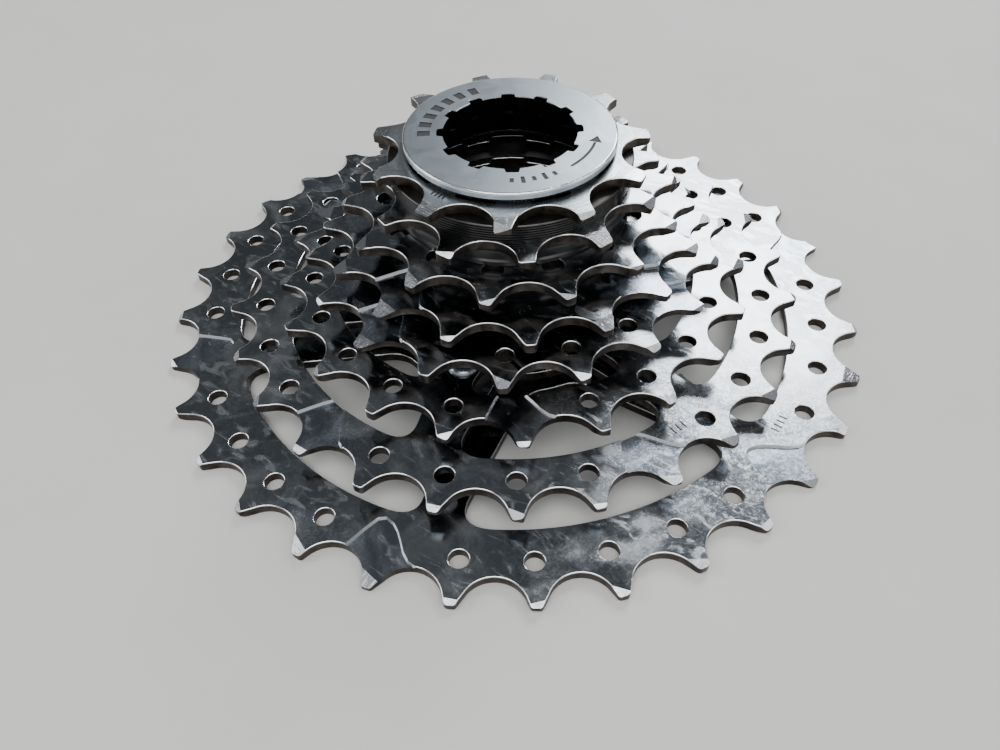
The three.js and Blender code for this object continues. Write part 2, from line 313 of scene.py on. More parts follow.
def shade(piece):
    """Shades the piece smooth, but for its sharp edges, the rims of its flat sides and where looks meet."""
    mesh = piece.data
    looks = [p.material_index for p in mesh.polygons]
    normals = [p.normal.copy() for p in mesh.polygons]
    flat = [abs(n.z) > FLAT for n in normals]
    sides = {}
    for polygon in mesh.polygons:
        for key in polygon.edge_keys:
            sides.setdefault(key, []).append(polygon.index)
    limit = math.cos(math.radians(SHARP_ANGLE))
    for edge in mesh.edges:
        faces = sides.get(edge.key, ())
        if len(faces) != 2:
            edge.use_edge_sharp = True
        else:
            a, b = faces
            apart = flat[a] != flat[b] or looks[a] != looks[b]
            edge.use_edge_sharp = apart or normals[a].dot(normals[b]) < limit
    mesh.polygons.foreach_set("use_smooth", [True] * len(mesh.polygons))


def metal_side(points, is_hole):
    """For each corner of an anticlockwise outline, the mitred way into the metal."""
    along = np.roll(points, -1, 0) - points
    along /= np.linalg.norm(along, axis=1)[:, None]
    left = np.stack([-along[:, 1], along[:, 0]], 1)
    mitre = left + np.roll(left, 1, 0)
    mitre /= np.linalg.norm(mitre, axis=1)[:, None]
    stretch = np.clip((mitre * left).sum(1), 0.6, 1)[:, None]
    return mitre / stretch * (-1 if is_hole else 1)


def inside(points, outline):
    """Which of the points lie inside a closed outline."""
    x, y = points[:, :1], points[:, 1:]
    a, b = outline, np.roll(outline, -1, 0)
    crosses = (a[:, 1] > y) != (b[:, 1] > y)
    rise = np.where(b[:, 1] == a[:, 1], 1, b[:, 1] - a[:, 1])
    at = a[:, 0] + (y - a[:, 1]) * (b[:, 0] - a[:, 0]) / rise
    return (crosses & (x < at)).sum(1) % 2 == 1


def plate(name, outline, holes, low, high, materials, rounding=EDGE_ROUNDING):
    """A plate with rounded rims. Its flat faces, its front rims and its walls have a material each."""
    loops = [np.array(outline)] + [np.array(h) for h in holes]
    turns = [math.pi / 2 * i / EDGE_STEPS for i in range(EDGE_STEPS + 1)]
    levels = [(rounding * (1 - math.sin(t)), high - rounding * (1 - math.cos(t))) for t in turns]
    levels += [(inset, low + high - z) for inset, z in reversed(levels)]
    vertices, faces, slots, rims = [], [], [], ([], [])
    for number, loop in enumerate(loops):
        ways = metal_side(loop, number > 0)
        count = len(loop)
        start = len(vertices)
        for inset, z in levels:
            vertices += [(p[0], p[1], z) for p in loop + ways * inset]
        for k in range(len(levels) - 1):
            for i in range(count):
                here, there = start + k * count, start + (k + 1) * count
                quad = (here + i, there + i, there + (i + 1) % count, here + (i + 1) % count)
                faces.append(quad[::-1] if number else quad)
                # Front rims take the near-white look, which is partly a painted highlight. Walls and back
                # rims take the near-black look, which is partly painted shade.
                slots.append(RIM_SLOT if k < EDGE_STEPS else WALL_SLOT)
        rims[0].append(list(range(start, start + count)))
        rims[1].append(list(range(start + (len(levels) - 1) * count, start + len(levels) * count)))
    for rim, is_front in zip(rims, (True, False)):
        indices = [i for loop in rim for i in loop]
        places = np.array([vertices[i][:2] for i in indices])
        edges, at = [], 0
        for loop in rim:
            edges += [(at + i, at + (i + 1) % len(loop)) for i in range(len(loop))]
            at += len(loop)
        out, _, triangles, origin, _, _ = delaunay_2d_cdt([Vector(p) for p in places], edges, [], 1, 1e-6)
        middles = np.array([sum((out[i] for i in t), Vector((0, 0))) / 3 for t in triangles])
        at, kept = len(rim[0]), np.ones(len(triangles), bool)
        for loop in rim[1:]:
            kept &= ~inside(middles, places[at:at + len(loop)])
            at += len(loop)
        for triangle, keep in zip(triangles, kept):
            if keep:
                corners = [indices[origin[i][0]] for i in triangle]
                faces.append(corners if is_front else corners[::-1])
                slots.append(0)
    return new_piece(name, vertices, faces, slots, materials)


def loft(name, rings, ring_slots, materials):
    """A ring-shaped body: closed rings of points, the last joined to the first."""
    count = len(rings[0])
    vertices = [tuple(p) for ring in rings for p in ring]
    faces, slots = [], []
    for k in range(len(rings)):
        here, there = k * count, (k + 1) % len(rings) * count
        for i in range(count):
            j = (i + 1) % count
            faces.append((here + i, here + j, there + j, there + i))
            slots.append(ring_slots[k])
    return new_piece(name, vertices, faces, slots, materials)


def prism(outline, low, high, spread, slots):
    """A closed cutter whose outline grows by spread from low to high: vertices, faces and slots."""
    loop = np.array(outline)
    count = len(loop)
    wide = loop - metal_side(loop, False) * spread
    vertices = [(x, y, low) for x, y in loop] + [(x, y, high) for x, y in wide]
    faces = [tuple(range(count))[::-1], tuple(range(count, 2 * count))]
    faces += [(i, (i + 1) % count, count + (i + 1) % count, count + i) for i in range(count)]
    return vertices, faces, [slots[0], slots[0]] + [slots[1]] * count


def block(point, normal, sideways, size, slot):
    """A closed box standing on the plane through point: vertices, faces and slots."""
    up = Vector(normal).normalized()
    side = Vector(sideways)
    side = (side - up * side.dot(up)).normalized()
    along = up.cross(side)
    vertices = []
    for h in (0, size[2]):
        for a, b in ((-1, -1), (1, -1), (1, 1), (-1, 1)):
            vertices.append(tuple(Vector(point) + side * a * size[0] + along * b * size[1] + up * h))
    faces = [(3, 2, 1, 0), (4, 5, 6, 7)] + [(i, (i + 1) % 4, 4 + (i + 1) % 4, 4 + i) for i in range(4)]
    return vertices, faces, [slot] * 6


def cut(piece, cutters):
    """Cuts closed bodies that don't meet each other out of a piece."""
    if not cutters:
        return
    vertices, faces, slots = [], [], []
    for body_vertices, body_faces, body_slots in cutters:
        start = len(vertices)
        vertices += body_vertices
        faces += [tuple(start + i for i in face) for face in body_faces]
        slots += body_slots
    tool = new_piece("cutter", vertices, faces, slots, piece.data.materials)
    modifier = piece.modifiers.new("cut", "BOOLEAN")
    modifier.operation = "DIFFERENCE"
    modifier.solver = "EXACT"
    modifier.object = tool
    bpy.context.view_layer.update()
    graph = bpy.context.evaluated_depsgraph_get()
    result = bpy.data.meshes.new_from_object(piece.evaluated_get(graph))
    piece.modifiers.clear()
    old = piece.data
    piece.data = result
    bpy.data.meshes.remove(old)
    bpy.data.objects.remove(tool)


# ---------- Materials ----------
# The plating is most stained round this place, in mm.
STAIN_CENTRE = (36, -40)
STAIN_NEAR = 12
STAIN_FAR = 36


def new_material(name):
    material = bpy.data.materials.new(name)
    material.use_nodes = True
    material.node_tree.nodes.clear()
    return material, material.node_tree


def node(tree, kind, inputs=None, **settings):
    """Adds a node. A socket given for an input is linked to it, and any other value is set."""
    made = tree.nodes.new(kind)
    for key, value in settings.items():
        setattr(made, key, value)
    for key, value in (inputs or {}).items():
        socket = made.inputs[key]
        if isinstance(value, bpy.types.NodeSocket):
            tree.links.new(value, socket)
        else:
            socket.default_value = value
    return made


def place(tree, stretch=(1, 1, 1), turn=0):
    """Object coordinates, turned about Z and then stretched."""
    source = node(tree, "ShaderNodeTexCoord").outputs["Object"]
    if turn:
        turning = node(tree, "ShaderNodeMapping", {"Vector": source, "Rotation": (0, 0, math.radians(turn))})
        source = turning.outputs["Vector"]
    return node(tree, "ShaderNodeMapping", {"Vector": source, "Scale": stretch}).outputs["Vector"]


def noise(tree, vector, size, detail=4, roughness=0.55, distortion=0):
    """Noise whose features are about size mm wide."""
    return node(tree, "ShaderNodeTexNoise", {
        "Vector": vector, "Scale": 1 / (size * MM), "Detail": detail, "Roughness": roughness,
        "Distortion": distortion,
    }).outputs["Fac"]


def ramp(tree, value, *stops):
    """Maps a value through (position, grey or colour) stops."""
    made = node(tree, "ShaderNodeValToRGB", {"Fac": value})
    elements = made.color_ramp.elements
    while len(elements) < len(stops):
        elements.new(0.5)
    for element, (position, colour) in zip(elements, stops):
        element.position = position
        element.color = (colour, colour, colour, 1) if isinstance(colour, (int, float)) else (*colour, 1)
    return made.outputs["Color"]


def maths(tree, operation, a, b):
    return node(tree, "ShaderNodeMath", {0: a, 1: b}, operation=operation).outputs[0]


def blend(tree, factor, a, b, mode="MIX"):
    made = node(tree, "ShaderNodeMix", {"Factor": factor}, data_type="RGBA", blend_type=mode)
    for key, value in ((6, a), (7, b)):
        if isinstance(value, bpy.types.NodeSocket):
            tree.links.new(value, made.inputs[key])
        else:
            made.inputs[key].default_value = (*value, 1)
    return made.outputs[2]


def scratches(tree, size, thinness, turns):
    """Fine straight scratches in a few directions, 0 to 1, thicker in some places than in others."""
    total = None
    for turn in turns:
        lines = noise(tree, place(tree, (1, 30, 1), turn), size, 2, 0.5, 0.1)
        sharp = ramp(tree, lines, (thinness, 0), (thinness + 0.04, 1))
        here = ramp(tree, noise(tree, place(tree, (1, 1, 1), turn), 9, 2), (0.48, 0), (0.62, 1))
        sharp = maths(tree, "MULTIPLY", sharp, here)
        total = sharp if total is None else maths(tree, "MAXIMUM", total, sharp)
    return total


def metal(tree, colour, roughness, bump, bump_height, metallic=1.0):
    bumped = node(tree, "ShaderNodeBump", {"Height": bump, "Strength": 1.0, "Distance": bump_height * MM})
    shader = node(tree, "ShaderNodeBsdfPrincipled", {
        "Base Color": colour, "Metallic": metallic, "Roughness": roughness,
        "Normal": bumped.outputs["Normal"],
    })
    output = node(tree, "ShaderNodeOutputMaterial")
    tree.links.new(shader.outputs["BSDF"], output.inputs["Surface"])
    return shader


def nearness(tree, centre, near, far):
    """1 within near mm of an upright line through centre, falling to 0 at far mm."""
    offset = node(tree, "ShaderNodeVectorMath", {0: place(tree), 1: (centre[0] * MM, centre[1] * MM, 0)},
                  operation="SUBTRACT").outputs[0]
    flat = node(tree, "ShaderNodeVectorMath", {0: offset, 1: (1, 1, 0)}, operation="MULTIPLY").outputs[0]
    reach = node(tree, "ShaderNodeVectorMath", {0: flat}, operation="LENGTH").outputs["Value"]
    return node(tree, "ShaderNodeMapRange", {
        "Value": reach, "From Min": near * MM, "From Max": far * MM, "To Min": 1, "To Max": 0,
    }).outputs["Result"]


def plated_steel(name, dark, light, fleck, smooth, rough, haze=0.5):
    """Bright plating gone cloudy: dark mirror patches, hazy lighter ones, dark flecks and scratches."""
    material, tree = new_material(name)
    stained = nearness(tree, STAIN_CENTRE, STAIN_NEAR, STAIN_FAR)
    cloud = noise(tree, place(tree, (1, 1, 3)), 10, 4, 0.55, 0.9)
    patch = ramp(tree, cloud, (0.46, 0), (0.68, 1))
    smear = ramp(tree, noise(tree, place(tree, (1, 2.2, 3), 35), 6, 3, 0.5, 1.4), (0.55, 0), (0.66, 1))
    mottle = ramp(tree, noise(tree, place(tree), 0.95, 4, 0.6, 1.6), (0.42, 0), (0.64, 1))
    mottled = ramp(tree, noise(tree, place(tree, (1, 1, 2), 60), 22, 2, 0.5, 0.6), (0.44, 0.1), (0.62, 1))
    lines = scratches(tree, 5, 0.64, (12, 47, 71, 118, 146, 163))
    dull = maths(tree, "MULTIPLY", maths(tree, "MAXIMUM", patch, smear), haze)
    mottled = maths(tree, "MAXIMUM", maths(tree, "MULTIPLY", mottled, 0.6), stained)
    mottling = maths(tree, "MULTIPLY", mottle, mottled)
    dull = maths(tree, "ADD", dull, maths(tree, "MULTIPLY", mottling, 0.4 * haze))
    dull = maths(tree, "ADD", dull, maths(tree, "MULTIPLY", stained, 0.22))
    dull = maths(tree, "ADD", dull, maths(tree, "MULTIPLY", lines, 0.13))
    colour = blend(tree, maths(tree, "MULTIPLY", dull, 1.3), dark, light)
    flecks = maths(tree, "MULTIPLY", maths(tree, "SUBTRACT", 1.0, mottle), mottled)
    colour = blend(tree, maths(tree, "MULTIPLY", flecks, 0.5), colour, fleck)
    roughness = node(tree, "ShaderNodeMapRange", {"Value": dull, "To Min": smooth, "To Max": rough})
    relief = maths(tree, "MULTIPLY", noise(tree, place(tree, (1, 1, 2)), 7, 2, 0.4), 1.6)
    relief = maths(tree, "ADD", relief, maths(tree, "MULTIPLY", noise(tree, place(tree), 2.0, 3, 0.5), 0.35))
    relief = maths(tree, "SUBTRACT", relief, maths(tree, "MULTIPLY", lines, 0.04))
    metal(tree, colour, roughness.outputs["Result"], relief, 0.035)
    return material


def cut_edge(name, dark, light):
    """The sheared wall of a plate: fine grooves across its thickness, stained between. The near-black colours
    it is given are partly duller sheared steel and partly painted shade, with a painted reflection of a dark
    brown table.
    """
    material, tree = new_material(name)
    grooves = noise(tree, place(tree, (1, 1, 0.12)), 0.35, 3, 0.6)
    stain = ramp(tree, noise(tree, place(tree), 2.2, 4, 0.6, 0.5), (0.35, 0), (0.7, 1))
    colour = blend(tree, stain, dark, light)
    roughness = node(tree, "ShaderNodeMapRange", {"Value": grooves, "To Min": 0.28, "To Max": 0.5})
    metal(tree, colour, roughness.outputs["Result"], grooves, 0.03)
    return material


def burnished(name, colour, light, roughness):
    """An edge or facet that the chain has rubbed bright. On the front rims its near-white colour is also a
    painted highlight.
    """
    material, tree = new_material(name)
    lines = scratches(tree, 2.5, 0.6, (40, 130))
    stain = ramp(tree, noise(tree, place(tree), 1.4, 4, 0.65), (0.3, 0), (0.7, 1))
    shade_of = blend(tree, stain, colour, light)
    rough = node(tree, "ShaderNodeMapRange", {
        "Value": stain, "To Min": roughness, "To Max": roughness + 0.14,
    })
    metal(tree, shade_of, rough.outputs["Result"], lines, -0.01)
    return material


def turned_satin(name, dark, light, pitch, smooth, rough):
    """A lathe-turned satin face: fine rings about the Z axis with cloudy staining and nicks."""
    material, tree = new_material(name)
    flat = node(tree, "ShaderNodeVectorMath", {0: place(tree), 1: (1, 1, 0)}, operation="MULTIPLY")
    reach = node(tree, "ShaderNodeVectorMath", {0: flat.outputs[0]}, operation="LENGTH").outputs["Value"]
    rings = node(tree, "ShaderNodeTexNoise", {"W": reach, "Scale": 1 / (pitch * MM), "Detail": 3},
                 noise_dimensions="1D")
    cloud = ramp(tree, noise(tree, place(tree), 5, 5, 0.65, 0.8), (0.35, 0), (0.7, 1))
    nicks = ramp(tree, noise(tree, place(tree), 1.3, 5, 0.75, 0.4), (0.62, 0), (0.74, 1))
    worn = maths(tree, "ADD", maths(tree, "MULTIPLY", cloud, 0.6), maths(tree, "MULTIPLY", nicks, 0.4))
    colour = blend(tree, worn, light, dark)
    roughness = node(tree, "ShaderNodeMapRange", {"Value": worn, "To Min": smooth, "To Max": rough})
    relief = maths(tree, "SUBTRACT", rings.outputs["Fac"], maths(tree, "MULTIPLY", nicks, 0.8))
    metal(tree, colour, roughness.outputs["Result"], relief, 0.012)
    return material


def black_plastic(name):
    """Moulded black plastic with a little grease and dust."""
    material, tree = new_material(name)
    dust = ramp(tree, noise(tree, place(tree), 3, 5, 0.65, 0.5), (0.45, 0), (0.75, 1))
    colour = blend(tree, dust, (0.012, 0.012, 0.013), (0.045, 0.043, 0.04))
    roughness = node(tree, "ShaderNodeMapRange", {"Value": dust, "To Min": 0.32, "To Max": 0.6})
    metal(tree, colour, roughness.outputs["Result"], noise(tree, place(tree), 0.5, 3), 0.02, metallic=0.0)
    return material


def stamped(name):
    """The dirt left in a stamped mark."""
    material, tree = new_material(name)
    grime = noise(tree, place(tree), 0.6, 3)
    colour = blend(tree, grime, (0.02, 0.02, 0.022), (0.07, 0.07, 0.075))
    metal(tree, colour, 0.55, grime, 0.02, metallic=0.3)
    return material


FACE = plated_steel("plated_face", (0.22, 0.24, 0.255), (0.66, 0.69, 0.71), (0.12, 0.155, 0.22),
                    0.10, 0.42)
RAMP_FLOOR = plated_steel("ramp_floor", (0.21, 0.235, 0.265), (0.60, 0.65, 0.71), (0.11, 0.15, 0.22),
                          0.13, 0.42)
# Front rims, ramp walls and the lockring's edges: near-white. Partly burnished steel, partly a painted
# highlight line along every front edge.
RIM_WITH_PAINTED_HIGHLIGHT = burnished("burnished_rim_with_painted_highlight", (0.97, 0.97, 0.98), (0.88, 0.89, 0.90), 0.1)
FACET = burnished("worn_facet", (0.66, 0.67, 0.69), (0.42, 0.44, 0.47), 0.18)
# Walls and back rims: near-black brown. Partly duller sheared steel, partly painted shade and a painted
# reflection of a dark brown table.
WALL_WITH_PAINTED_SHADE = cut_edge("cut_wall_with_painted_shade", (0.02, 0.016, 0.013), (0.10, 0.082, 0.07))
SATIN = turned_satin("satin_sprocket", (0.33, 0.36, 0.39), (0.56, 0.60, 0.63), 0.4, 0.22, 0.46)
LOCKRING_FACE = turned_satin("lockring_face", (0.33, 0.39, 0.43), (0.49, 0.555, 0.60), 0.22, 0.32, 0.5)
# The lockring is silver steel. The near-black colour of its bore, socket walls, undercut and underside is
# painted shade.
LOCKRING_BORE_PAINTED_SHADE = turned_satin("lockring_bore_painted_shade", (0.012, 0.012, 0.013), (0.05, 0.05, 0.053), 0.5, 0.22, 0.4)
GROOVED = turned_satin("grooved_steel", (0.025, 0.024, 0.023), (0.085, 0.083, 0.08), 0.3, 0.25, 0.45)
PLASTIC = black_plastic("black_plastic")
MARK = stamped("stamped_mark")
SPROCKET_LOOK = (FACE, RIM_WITH_PAINTED_HIGHLIGHT, WALL_WITH_PAINTED_SHADE, FACET, RAMP_FLOOR, MARK)


# ---------- Pieces ----------
def span(node_name):
    """The lowest and highest z of a CAD node, in mm."""
    low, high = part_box(node_name)
    return low.z / MM, high.z / MM


def show(piece, node_name):
    shade(piece)
    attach(piece, frame["nodes"][node_name]["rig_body"])
    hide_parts(node_name)


def ramp_cutters(teeth, row, high):
    root = pitch_radius(teeth) - ROOT_DEPTH
    rise = RAMP_DEPTH + CUTTER_CLEARANCE
    reach = root + RAMP_OPEN_REACH
    cutters = []
    for tooth in row["ramps"]:
        angle = row["clocking"] + 360 * tooth / teeth
        outline = [np.array([root + out, along]) for along, out in RAMP_PROFILE]
        outline += [np.array([reach, side * RAMP_OPEN_HALF_WIDTH]) for side in (1, -1)]
        outline = [turned(p, angle) for p in reversed(outline)]
        low, top = high - RAMP_DEPTH, high + CUTTER_CLEARANCE
        cutters.append(prism(outline, low, top, RAMP_SLOPE * rise, (RAMP_FLOOR_SLOT, RIM_SLOT)))
    return cutters


def facet_cutters(teeth, row, level, front, rng):
    """Planes that bevel the teeth's tips: some across, some to one side, and on the front some wide ones."""
    tip = pitch_radius(teeth) + row["tip"]
    facing = 1 if front else -1
    cutters = []
    for tooth in range(teeth):
        angle = row["clocking"] + 360 * tooth / teeth
        kind = rng.choices(list(FACET_KINDS), FACET_SHARES)[0]
        lean, reach, slant = [rng.uniform(*limits) for limits in FACET_KINDS[kind]]
        if reach == 0 or not front and kind in ("wide", "side"):
            continue
        drop = RAMP_DEPTH if front and tooth in row["ramps"] else 0
        outward = turned(np.array([math.cos(math.radians(lean)), math.sin(math.radians(lean))]), angle)
        tilt = math.radians(slant)
        normal = (outward[0] * math.sin(tilt), outward[1] * math.sin(tilt), facing * math.cos(tilt))
        start = turned(np.array([tip - reach, 0]), angle)
        point = (start[0], start[1], level - facing * drop)
        sideways = (-outward[1], outward[0], 0)
        cutters.append(block(point, normal, sideways, FACET_BLOCK, FACET_SLOT))
    return cutters


def mark_cutters(mark, high, depth=0.14, half_width=0.15):
    """A short row of stamped strokes that stands for a sprocket's size mark."""
    radius, first, count, pitch, length = mark
    half = length / 2
    cutters = []
    for i in range(count):
        angle = first + math.degrees(i * pitch / radius)
        corners = ((-half, -half_width), (half, -half_width), (half, half_width), (-half, half_width))
        outline = [turned(np.array([radius + along, out]), angle) for along, out in corners]
        cutters.append(prism(outline, high - depth, high + 0.5, 0, (MARK_SLOT, MARK_SLOT)))
    return cutters


def sprocket(teeth, row, rng):
    name = f"sprocket_{teeth}t"
    low, high = span(name)
    leans = [rng.choice((-1, -0.4, 0.4, 1)) for _ in range(teeth)]
    holes = [splined_bore()]
    for i in range(teeth):
        if "hole_circle" in row and i not in row["solid"]:
            centre = polar(row["hole_circle"], row["clocking"] + 360 * i / teeth)
            holes.append(circle(row["hole_radius"], 28, centre))
    if "window" in row:
        holes += [circle(RIVET_HOLE_RADIUS, 20, centre) for centre in rivet_centres()]
        holes += [arm_window(row["window"], row["window"][1] + 360 * i / ARM_COUNT) for i in range(ARM_COUNT)]
    look = (SATIN,) + SPROCKET_LOOK[1:] if teeth == 11 else SPROCKET_LOOK
    piece = plate(f"{name}_look", toothed_outline(teeth, row["clocking"], row["tip"], leans),
                  holes, low, high, look)
    cut(piece, ramp_cutters(teeth, row, high))
    if "mark" in row:
        cut(piece, mark_cutters(row["mark"], high))
    cut(piece, facet_cutters(teeth, row, high, True, rng))
    cut(piece, facet_cutters(teeth, row, low, False, rng))
    show(piece, name)


def lobed_outline():
    points = []
    samples = 240
    pitch = 360 / RIVET_COUNT
    for i in range(samples):
        turn = 360 * i / samples
        away = abs((turn + pitch / 2) % pitch - pitch / 2) / LOBE_HALF_ANGLE
        rise = (1 - away * away) ** 1.5 if away < 1 else 0
        reach = SPACER_OUTER_RADIUS + (LOBE_REACH - SPACER_OUTER_RADIUS) * rise
        points.append(polar(reach, RIVET_CLOCKING + turn))
    return points


def lobed_spacer(name):
    low, high = span(name)
    holes = [circle(SPACER_INNER_RADIUS, 120)]
    holes += [circle(RIVET_HOLE_RADIUS, 20, centre) for centre in rivet_centres()]
    piece = plate(f"{name}_look", lobed_outline(), holes, low, high, (PLASTIC,) * 3, 0.3)
    show(piece, name)


def ring_rows(profile, steps=144):
    """The rings of a body turned about Z from its closed (radius, z) profile."""
    return [[(*polar(radius, 360 * i / steps), z) for i in range(steps)] for radius, z in profile]


def plain_spacer(name):
    """A moulded ring with rounded rims and a shallow waist round its outside."""
    low, high = span(name)
    inner, outer, r = SPACER_INNER_RADIUS, SPACER_OUTER_RADIUS, 0.25
    profile = [(inner, low + r), (inner + 0.07, low + 0.07), (inner + r, low)]
    profile += [(outer - r, low), (outer - 0.07, low + 0.07), (outer, low + r), (outer, low + 0.8)]
    profile += [(outer - 0.35, low + 1.05), (outer - 0.35, high - 1.05), (outer, high - 0.8)]
    profile += [(outer, high - r), (outer - 0.07, high - 0.07), (outer - r, high)]
    profile += [(inner + r, high), (inner + 0.07, high - 0.07), (inner, high - r)]
    piece = loft(f"{name}_look", ring_rows(profile), [0] * len(profile), (PLASTIC,))
    show(piece, name)


def grooved_spacer(name, grooves=6):
    low, high = span(name)
    inner, outer, r = SPACER_INNER_RADIUS, SPACER_OUTER_RADIUS, 0.15
    profile = [(inner, high - r), (inner, low + r), (inner + r, low), (outer - r, low), (outer, low + r)]
    pitch = (high - low - 2 * r) / grooves
    for i in range(grooves):
        base = low + r + i * pitch
        profile += [(outer, base + 0.30 * pitch), (outer - 0.22, base + 0.42 * pitch)]
        profile += [(outer - 0.22, base + 0.62 * pitch), (outer, base + 0.74 * pitch)]
    profile += [(outer, high - r), (outer - r, high), (inner + r, high)]
    piece = loft(f"{name}_look", ring_rows(profile), [0] * len(profile), (GROOVED,))
    show(piece, name)


def washer():
    """A thin ring whose rim is cut into fine teeth that grip the lockring."""
    low, high = span("lockring_washer")
    per_ridge = len(RIDGE_DEPTHS)
    steps = WASHER_RIDGES * per_ridge

    def row(radius, z, grip):
        depths = [grip * RIDGE_DEPTHS[i % per_ridge] for i in range(steps)]
        return [(*polar(radius - depths[i], 360 * i / steps), z) for i in range(steps)]

    rings = [row(WASHER_INNER, low, 0), row(WASHER_OUTER - 0.1, low, 1), row(WASHER_OUTER, low + 0.1, 1),
             row(WASHER_OUTER, high - 0.1, 1), row(WASHER_OUTER - 0.1, high, 1), row(WASHER_INNER, high, 0)]
    piece = loft("lockring_washer_look", rings, [0] * len(rings), (GROOVED,))
    show(piece, "lockring_washer")


def lockring():
    low, top = span("lockring")
    under = span("lockring_washer")[1]  # the flange's underside lies on the washer
    per_notch = 24
    steps = NOTCH_COUNT * per_notch
    angles = [360 * i / steps for i in range(steps)]
    notch_pitch = 360 / NOTCH_COUNT

    def socket(extra):
        """The splined tool socket, its radius grown by extra."""
        points = []
        for angle in angles:
            from_middle = abs((angle + notch_pitch / 2) % notch_pitch - notch_pitch / 2)
            away = from_middle - NOTCH_HALF_ANGLE
            depth = min(max(0.5 - away / NOTCH_FILLET_ANGLE, 0), 1)
            smooth = depth * depth * (3 - 2 * depth)
            points.append(polar(SOCKET_RADIUS + (NOTCH_RADIUS - SOCKET_RADIUS) * smooth + extra, angle))
        return points

    def ring(radius, z):
        return [(*polar(radius, angle), z) for angle in angles]

    rings, slots = [], []

    def add(points, slot):
        rings.append(points)
        slots.append(slot)

    r = LOCKRING_RADIUS
    add([(*p, top) for p in socket(0.08)], 0)
    add(ring(r - 0.34, top), 1)
    add(ring(r - 0.14, top - 0.05), 1)
    add(ring(r - 0.03, top - 0.17), 1)
    add(ring(r, top - 0.36), 0)
    add(ring(r, under + 0.55), 1)
    # Slot 2 from here on covers the undercut, the flange's underside, the skirt's inside and the socket's
    # walls. It is near-black, which is painted shade.
    add(ring(r - 0.06, under + 0.45), 2)
    add(ring(r - 0.5, under + 0.03), 2)
    add(ring(r - 0.56, under), 2)
    add(ring(SKIRT_RADIUS, under), 2)
    thread_from, thread_to = under - 0.6, low + 0.4
    for k in range(THREAD_ROWS + 1):
        z = thread_from + (thread_to - thread_from) * k / THREAD_ROWS
        fade = min(1, (thread_from - z) / 0.5, (z - thread_to) / 0.5 + 0.15)
        points = []
        for angle in angles:
            phase = (z / THREAD_PITCH + angle / 360) % 1
            groove = 0.5 + 0.5 * math.cos(2 * math.pi * phase)
            points.append((*polar(SKIRT_RADIUS - 0.02 - THREAD_DEPTH * groove * max(fade, 0), angle), z))
        add(points, 3)
    add(ring(SKIRT_RADIUS - 0.3, low + 0.1), 2)
    add(ring(SKIRT_RADIUS - 0.5, low), 2)
    add(ring(SKIRT_INNER + 0.3, low), 1)
    add(ring(SKIRT_INNER, low + 0.3), 2)
    add(ring(SKIRT_INNER, top - SOCKET_DEPTH - 1.2), 2)
    add([(*p, top - SOCKET_DEPTH) for p in socket(0)], 2)
    add([(*p, top - 0.3) for p in socket(0)], 1)
    add([(*p, top - 0.1) for p in socket(0.02)], 1)
    # Material 4 isn't used here: it only keeps the marks in MARK_SLOT.
    piece = loft("lockring_look", [points[::-1] for points in rings], slots,
                 (LOCKRING_FACE, RIM_WITH_PAINTED_HIGHLIGHT, LOCKRING_BORE_PAINTED_SHADE, GROOVED, GROOVED, MARK))
    cut(piece, lockring_marks(top))
    show(piece, "lockring")


def arc_stroke(radius, start, end, width, steps=10):
    """A curved stroke about the Z axis as a closed outline."""
    span_of = [start + (end - start) * i / steps for i in range(steps + 1)]
    outside = [polar(radius + width / 2, a) for a in span_of]
    inner = [polar(radius - width / 2, a) for a in reversed(span_of)]
    return outside + inner


def lockring_marks(top):
    """Generic stamped marks: a run of bold bars, and a curved arrow that shows the way to tighten."""
    depth, radius = 0.12, 14.2
    outlines = []
    for i in range(7):
        outlines.append(arc_stroke(radius, 112 + i * 11, 118 + i * 11, 2.1, 4))
    outlines.append(arc_stroke(radius, -50, -18, 0.5))
    head = [(1.9, 0), (0, 1.1), (0, -1.1)]
    outlines.append([turned(np.array([-y, x]), -17.5) + polar(radius, -17.5) for x, y in head])
    for i in range(5):
        outlines.append(arc_stroke(radius, -92 + i * 7, -89.4 + i * 7, 1.7 if i % 2 else 1.1, 2))
    return [prism(outline, top - depth, top + 0.5, 0, (MARK_SLOT, MARK_SLOT)) for outline in outlines]


def rivet(index, centre):
    """A rivet with a domed head in front and a spread end flush with the back."""
    name = f"rivet_{index + 1}"
    low, high = span(name)
    seat = high - RIVET_HEAD_HEIGHT
    profile = [(0, low), (1.0, low), (1.1, low + 0.08), (1.2, low), (1.38, low + 0.06), (1.4, low + 0.2)]
    profile += [(1.4, seat), (2.5, seat), (2.6, seat + 0.12), (2.58, seat + 0.35), (2.35, seat + 0.7)]
    profile += [(1.9, seat + 0.96), (1.3, seat + 1.12), (0.6, high), (0, high)]
    steps = 40
    vertices, faces = [], []
    for radius, z in profile[1:-1]:
        vertices += [(*(polar(radius, 360 * i / steps) + centre), z) for i in range(steps)]
    for k in range(len(profile) - 3):
        for i in range(steps):
            here, there = k * steps, (k + 1) * steps
            faces.append((here + i, here + (i + 1) % steps, there + (i + 1) % steps, there + i))
    last = (len(profile) - 3) * steps
    faces.append(tuple(range(steps))[::-1])
    faces.append(tuple(range(last, last + steps)))
    piece = new_piece(f"{name}_look", vertices, faces, [0] * len(faces), (FACET,))
    show(piece, name)


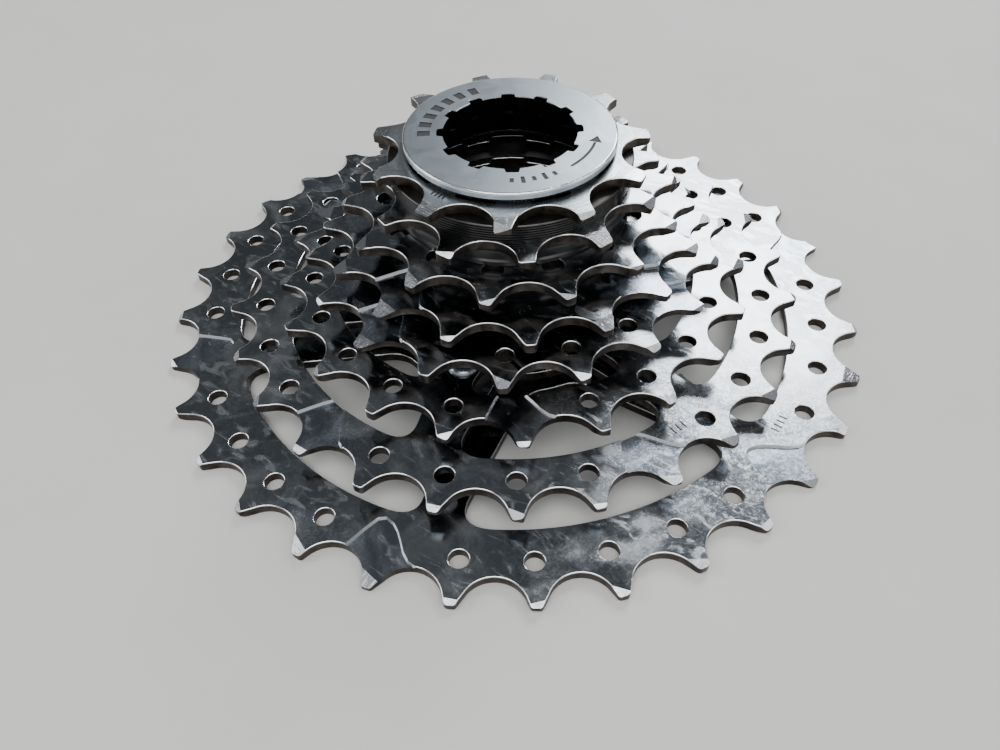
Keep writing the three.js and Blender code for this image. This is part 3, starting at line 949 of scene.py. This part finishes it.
# ---------- Studio ----------
def add_camera():
    """Looks down on the cassette's front from about 48 degrees up, rolled a little."""
    elevation, roll = math.radians(47.67), math.radians(-1.76)
    target = Vector((-2.864, -34.186, 17.0)) * MM
    distance = 126.79 * MM
    forward = Vector((0, math.cos(elevation), -math.sin(elevation)))
    right = Vector((1, 0, 0))
    up = Vector((0, math.sin(elevation), math.cos(elevation)))
    right, up = (right * math.cos(roll) + up * math.sin(roll), up * math.cos(roll) - right * math.sin(roll))
    data = bpy.data.cameras.new("camera")
    data.lens, data.sensor_width = 29.376, 36
    data.clip_start = 0.01
    camera = bpy.data.objects.new("camera", data)
    turn = Matrix((right, up, -forward)).transposed()
    camera.matrix_world = Matrix.Translation(target - forward * distance) @ turn.to_4x4()
    bpy.context.scene.collection.objects.link(camera)
    bpy.context.scene.camera = camera


def area_light(name, azimuth, elevation, distance, size, radiance, colour=(1, 1, 1)):
    """A soft box at this azimuth, which runs from +Y towards +X. Distances are in metres."""
    a, e = math.radians(azimuth), math.radians(elevation)
    way = Vector((math.sin(a) * math.cos(e), math.cos(a) * math.cos(e), math.sin(e)))
    data = bpy.data.lights.new(name, "AREA")
    data.shape = "RECTANGLE"
    data.size, data.size_y = size
    data.energy = radiance * math.pi * size[0] * size[1]
    data.color = colour
    light = bpy.data.objects.new(name, data)
    light.location = way * distance
    light.rotation_euler = way.to_track_quat("Z", "Y").to_euler()
    bpy.context.scene.collection.objects.link(light)


def add_world():
    """A dim room: darker behind the cassette, lighter on the camera's side."""
    world = bpy.data.worlds.new("world")
    world.use_nodes = True
    tree = world.node_tree
    tree.nodes.clear()
    way = node(tree, "ShaderNodeTexCoord").outputs["Generated"]
    along = node(tree, "ShaderNodeSeparateXYZ", {"Vector": way}).outputs["Y"]
    grey = node(tree, "ShaderNodeMapRange", {
        "Value": along, "From Min": -1, "From Max": 1, "To Min": 0.5, "To Max": 0.1,
    })
    background = node(tree, "ShaderNodeBackground", {
        "Color": (0.93, 0.96, 1, 1), "Strength": grey.outputs["Result"],
    })
    output = node(tree, "ShaderNodeOutputWorld")
    tree.links.new(background.outputs[0], output.inputs["Surface"])
    bpy.context.scene.world = world


def add_floor():
    material, tree = new_material("pale_floor")
    grain = noise(tree, place(tree), 25, 3)
    colour = blend(tree, grain, (0.60, 0.59, 0.57), (0.66, 0.65, 0.63))
    metal(tree, colour, 0.75, noise(tree, place(tree), 2, 3), 0.02, metallic=0.0)
    half, z = FLOOR_HALF_SIZE, -FLOOR_GAP
    corners = [(-half, -half, z), (half, -half, z), (half, half, z), (-half, half, z)]
    floor = new_piece("floor", corners, [(0, 1, 2, 3)], [0], (material,))


add_camera()
random_source = random.Random(7)
for tooth_count, sprocket_row in SPROCKETS.items():
    sprocket(tooth_count, sprocket_row, random_source)
for spacer_name in ("spacer_32_26", "spacer_26_21"):
    lobed_spacer(spacer_name)
for spacer_name in ("spacer_21_18", "spacer_18_16", "spacer_16_14", "spacer_14_12"):
    plain_spacer(spacer_name)
grooved_spacer("spacer_12_11")
washer()
lockring()
for rivet_index, rivet_centre in enumerate(rivet_centres()):
    rivet(rivet_index, rivet_centre)

add_world()
add_floor()
area_light("window_light", 24, 37, 0.9, (0.32, 0.34), 14, (0.97, 0.98, 1.0))
area_light("overhead", 180, 66, 0.9, (0.9, 0.7), 3.2)
area_light("left_fill", -80, 32, 1.0, (0.6, 0.7), 2.6)
area_light("right_fill", 100, 30, 1.0, (0.5, 0.6), 2.0)
